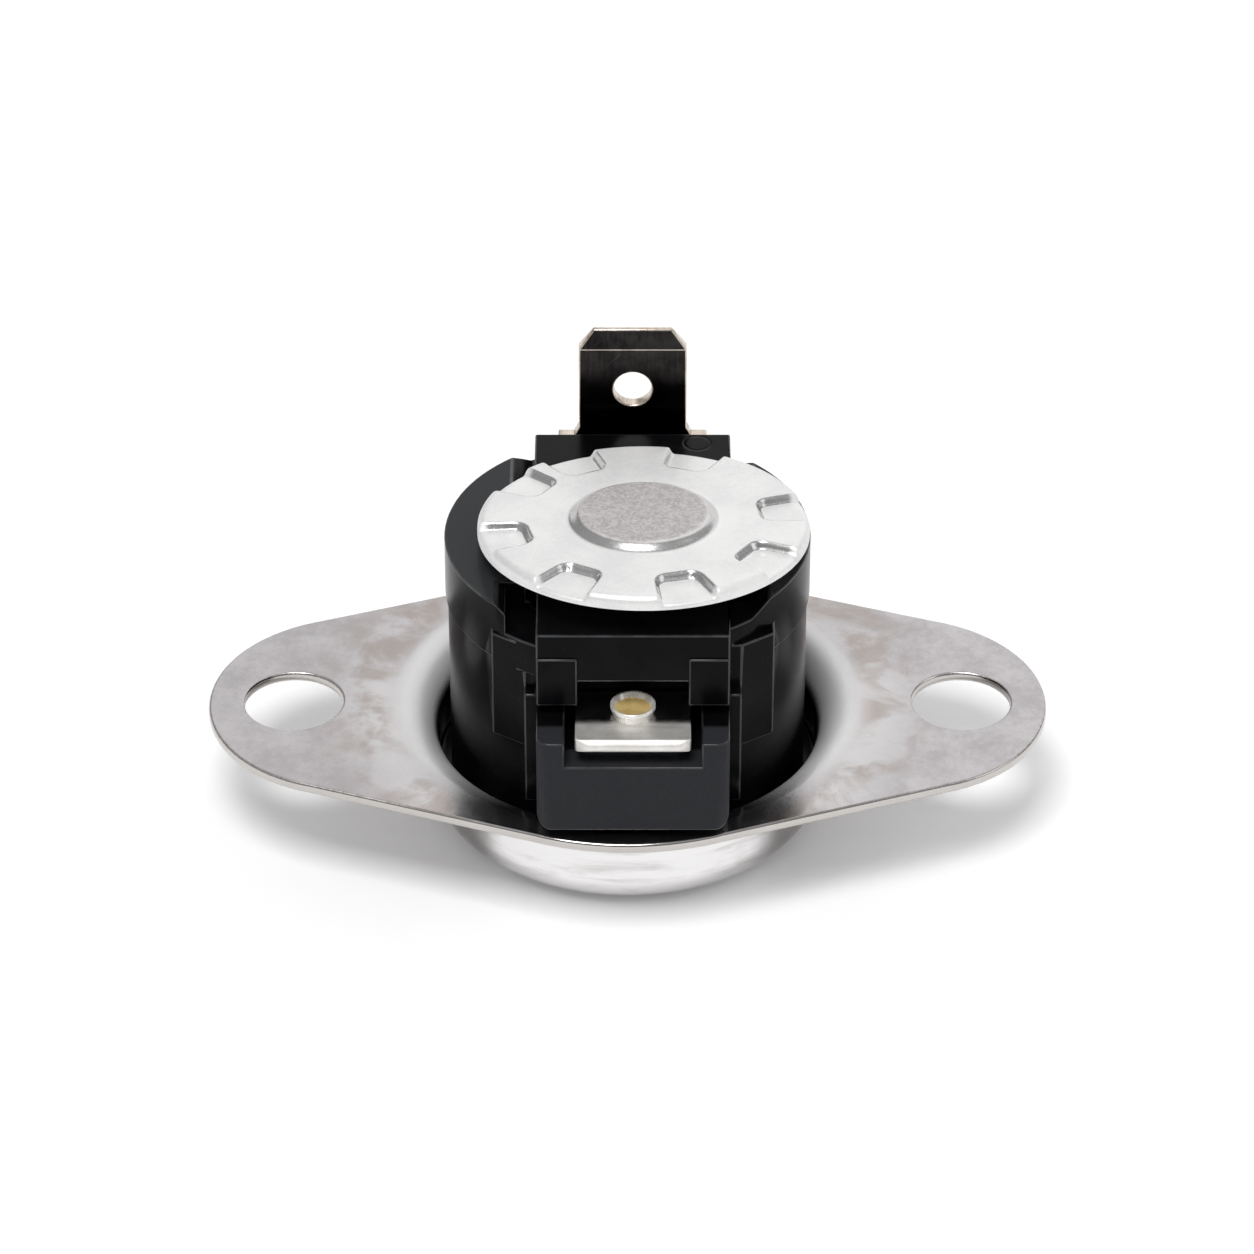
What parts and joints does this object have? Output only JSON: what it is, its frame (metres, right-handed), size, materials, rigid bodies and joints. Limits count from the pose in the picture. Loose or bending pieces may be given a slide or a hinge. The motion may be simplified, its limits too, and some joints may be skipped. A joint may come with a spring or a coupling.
{
  "type": "bimetal thermostat",
  "caption": "Flange-mounted bimetal thermostat with a drawn sensing cup, a black moulded switch body, a pressed metal cover and flat blade terminals.",
  "frame": {"origin": "centre of the flange's underside, midway between the two screw holes", "axes": "+X through both screw holes, -Y towards the flat terminal, +Z away from the sensed surface"},
  "size_m": [0.0478, 0.0278, 0.0241],
  "materials": {
    "plated_steel": "satin",
    "black_phenolic": "gloss",
    "bright_aluminium": "satin",
    "nickel_plate": "polished",
    "rivet_metal": "polished",
    "strip_brass": "satin",
    "spring_bronze": "satin",
    "contact_silver": "satin",
    "white_ceramic": "matt",
    "bimetal": "satin"
  },
  "bodies": {
    "case": {"mounting_flange": "plated_steel", "switch_body": "black_phenolic", "cover_cap": "bright_aluminium", "front_terminal": "nickel_plate", "rear_terminal": "nickel_plate", "front_rivet": "rivet_metal", "rear_rivet": "rivet_metal", "arm_bracket": "strip_brass", "fixed_strip": "strip_brass", "fixed_contact": "contact_silver", "bimetal_disc": "bimetal"},
    "pin": {"transfer_pin": "white_ceramic"},
    "arm": {"contact_arm": "spring_bronze", "moving_contact": "contact_silver"}
  },
  "joints": [
    {"name": "pin_slide", "type": "slide", "parent": "case", "child": "pin", "axis": [0, 0, 1], "range_m": [0, 0.0005], "deforming": ["bimetal_disc"]},
    {"name": "arm_flex", "type": "hinge", "parent": "case", "child": "arm", "pos_m": [0, -0.0068, 0.00436], "axis": [1, 0, 0], "range_deg": [0, 4.25], "stiffness_Nm_per_rad": 0.004, "springref_deg": -2.86}
  ],
  "couplings": [
    {"joint": "arm_flex", "follows": "pin_slide", "rad_per_m": 147.06}
  ]
}
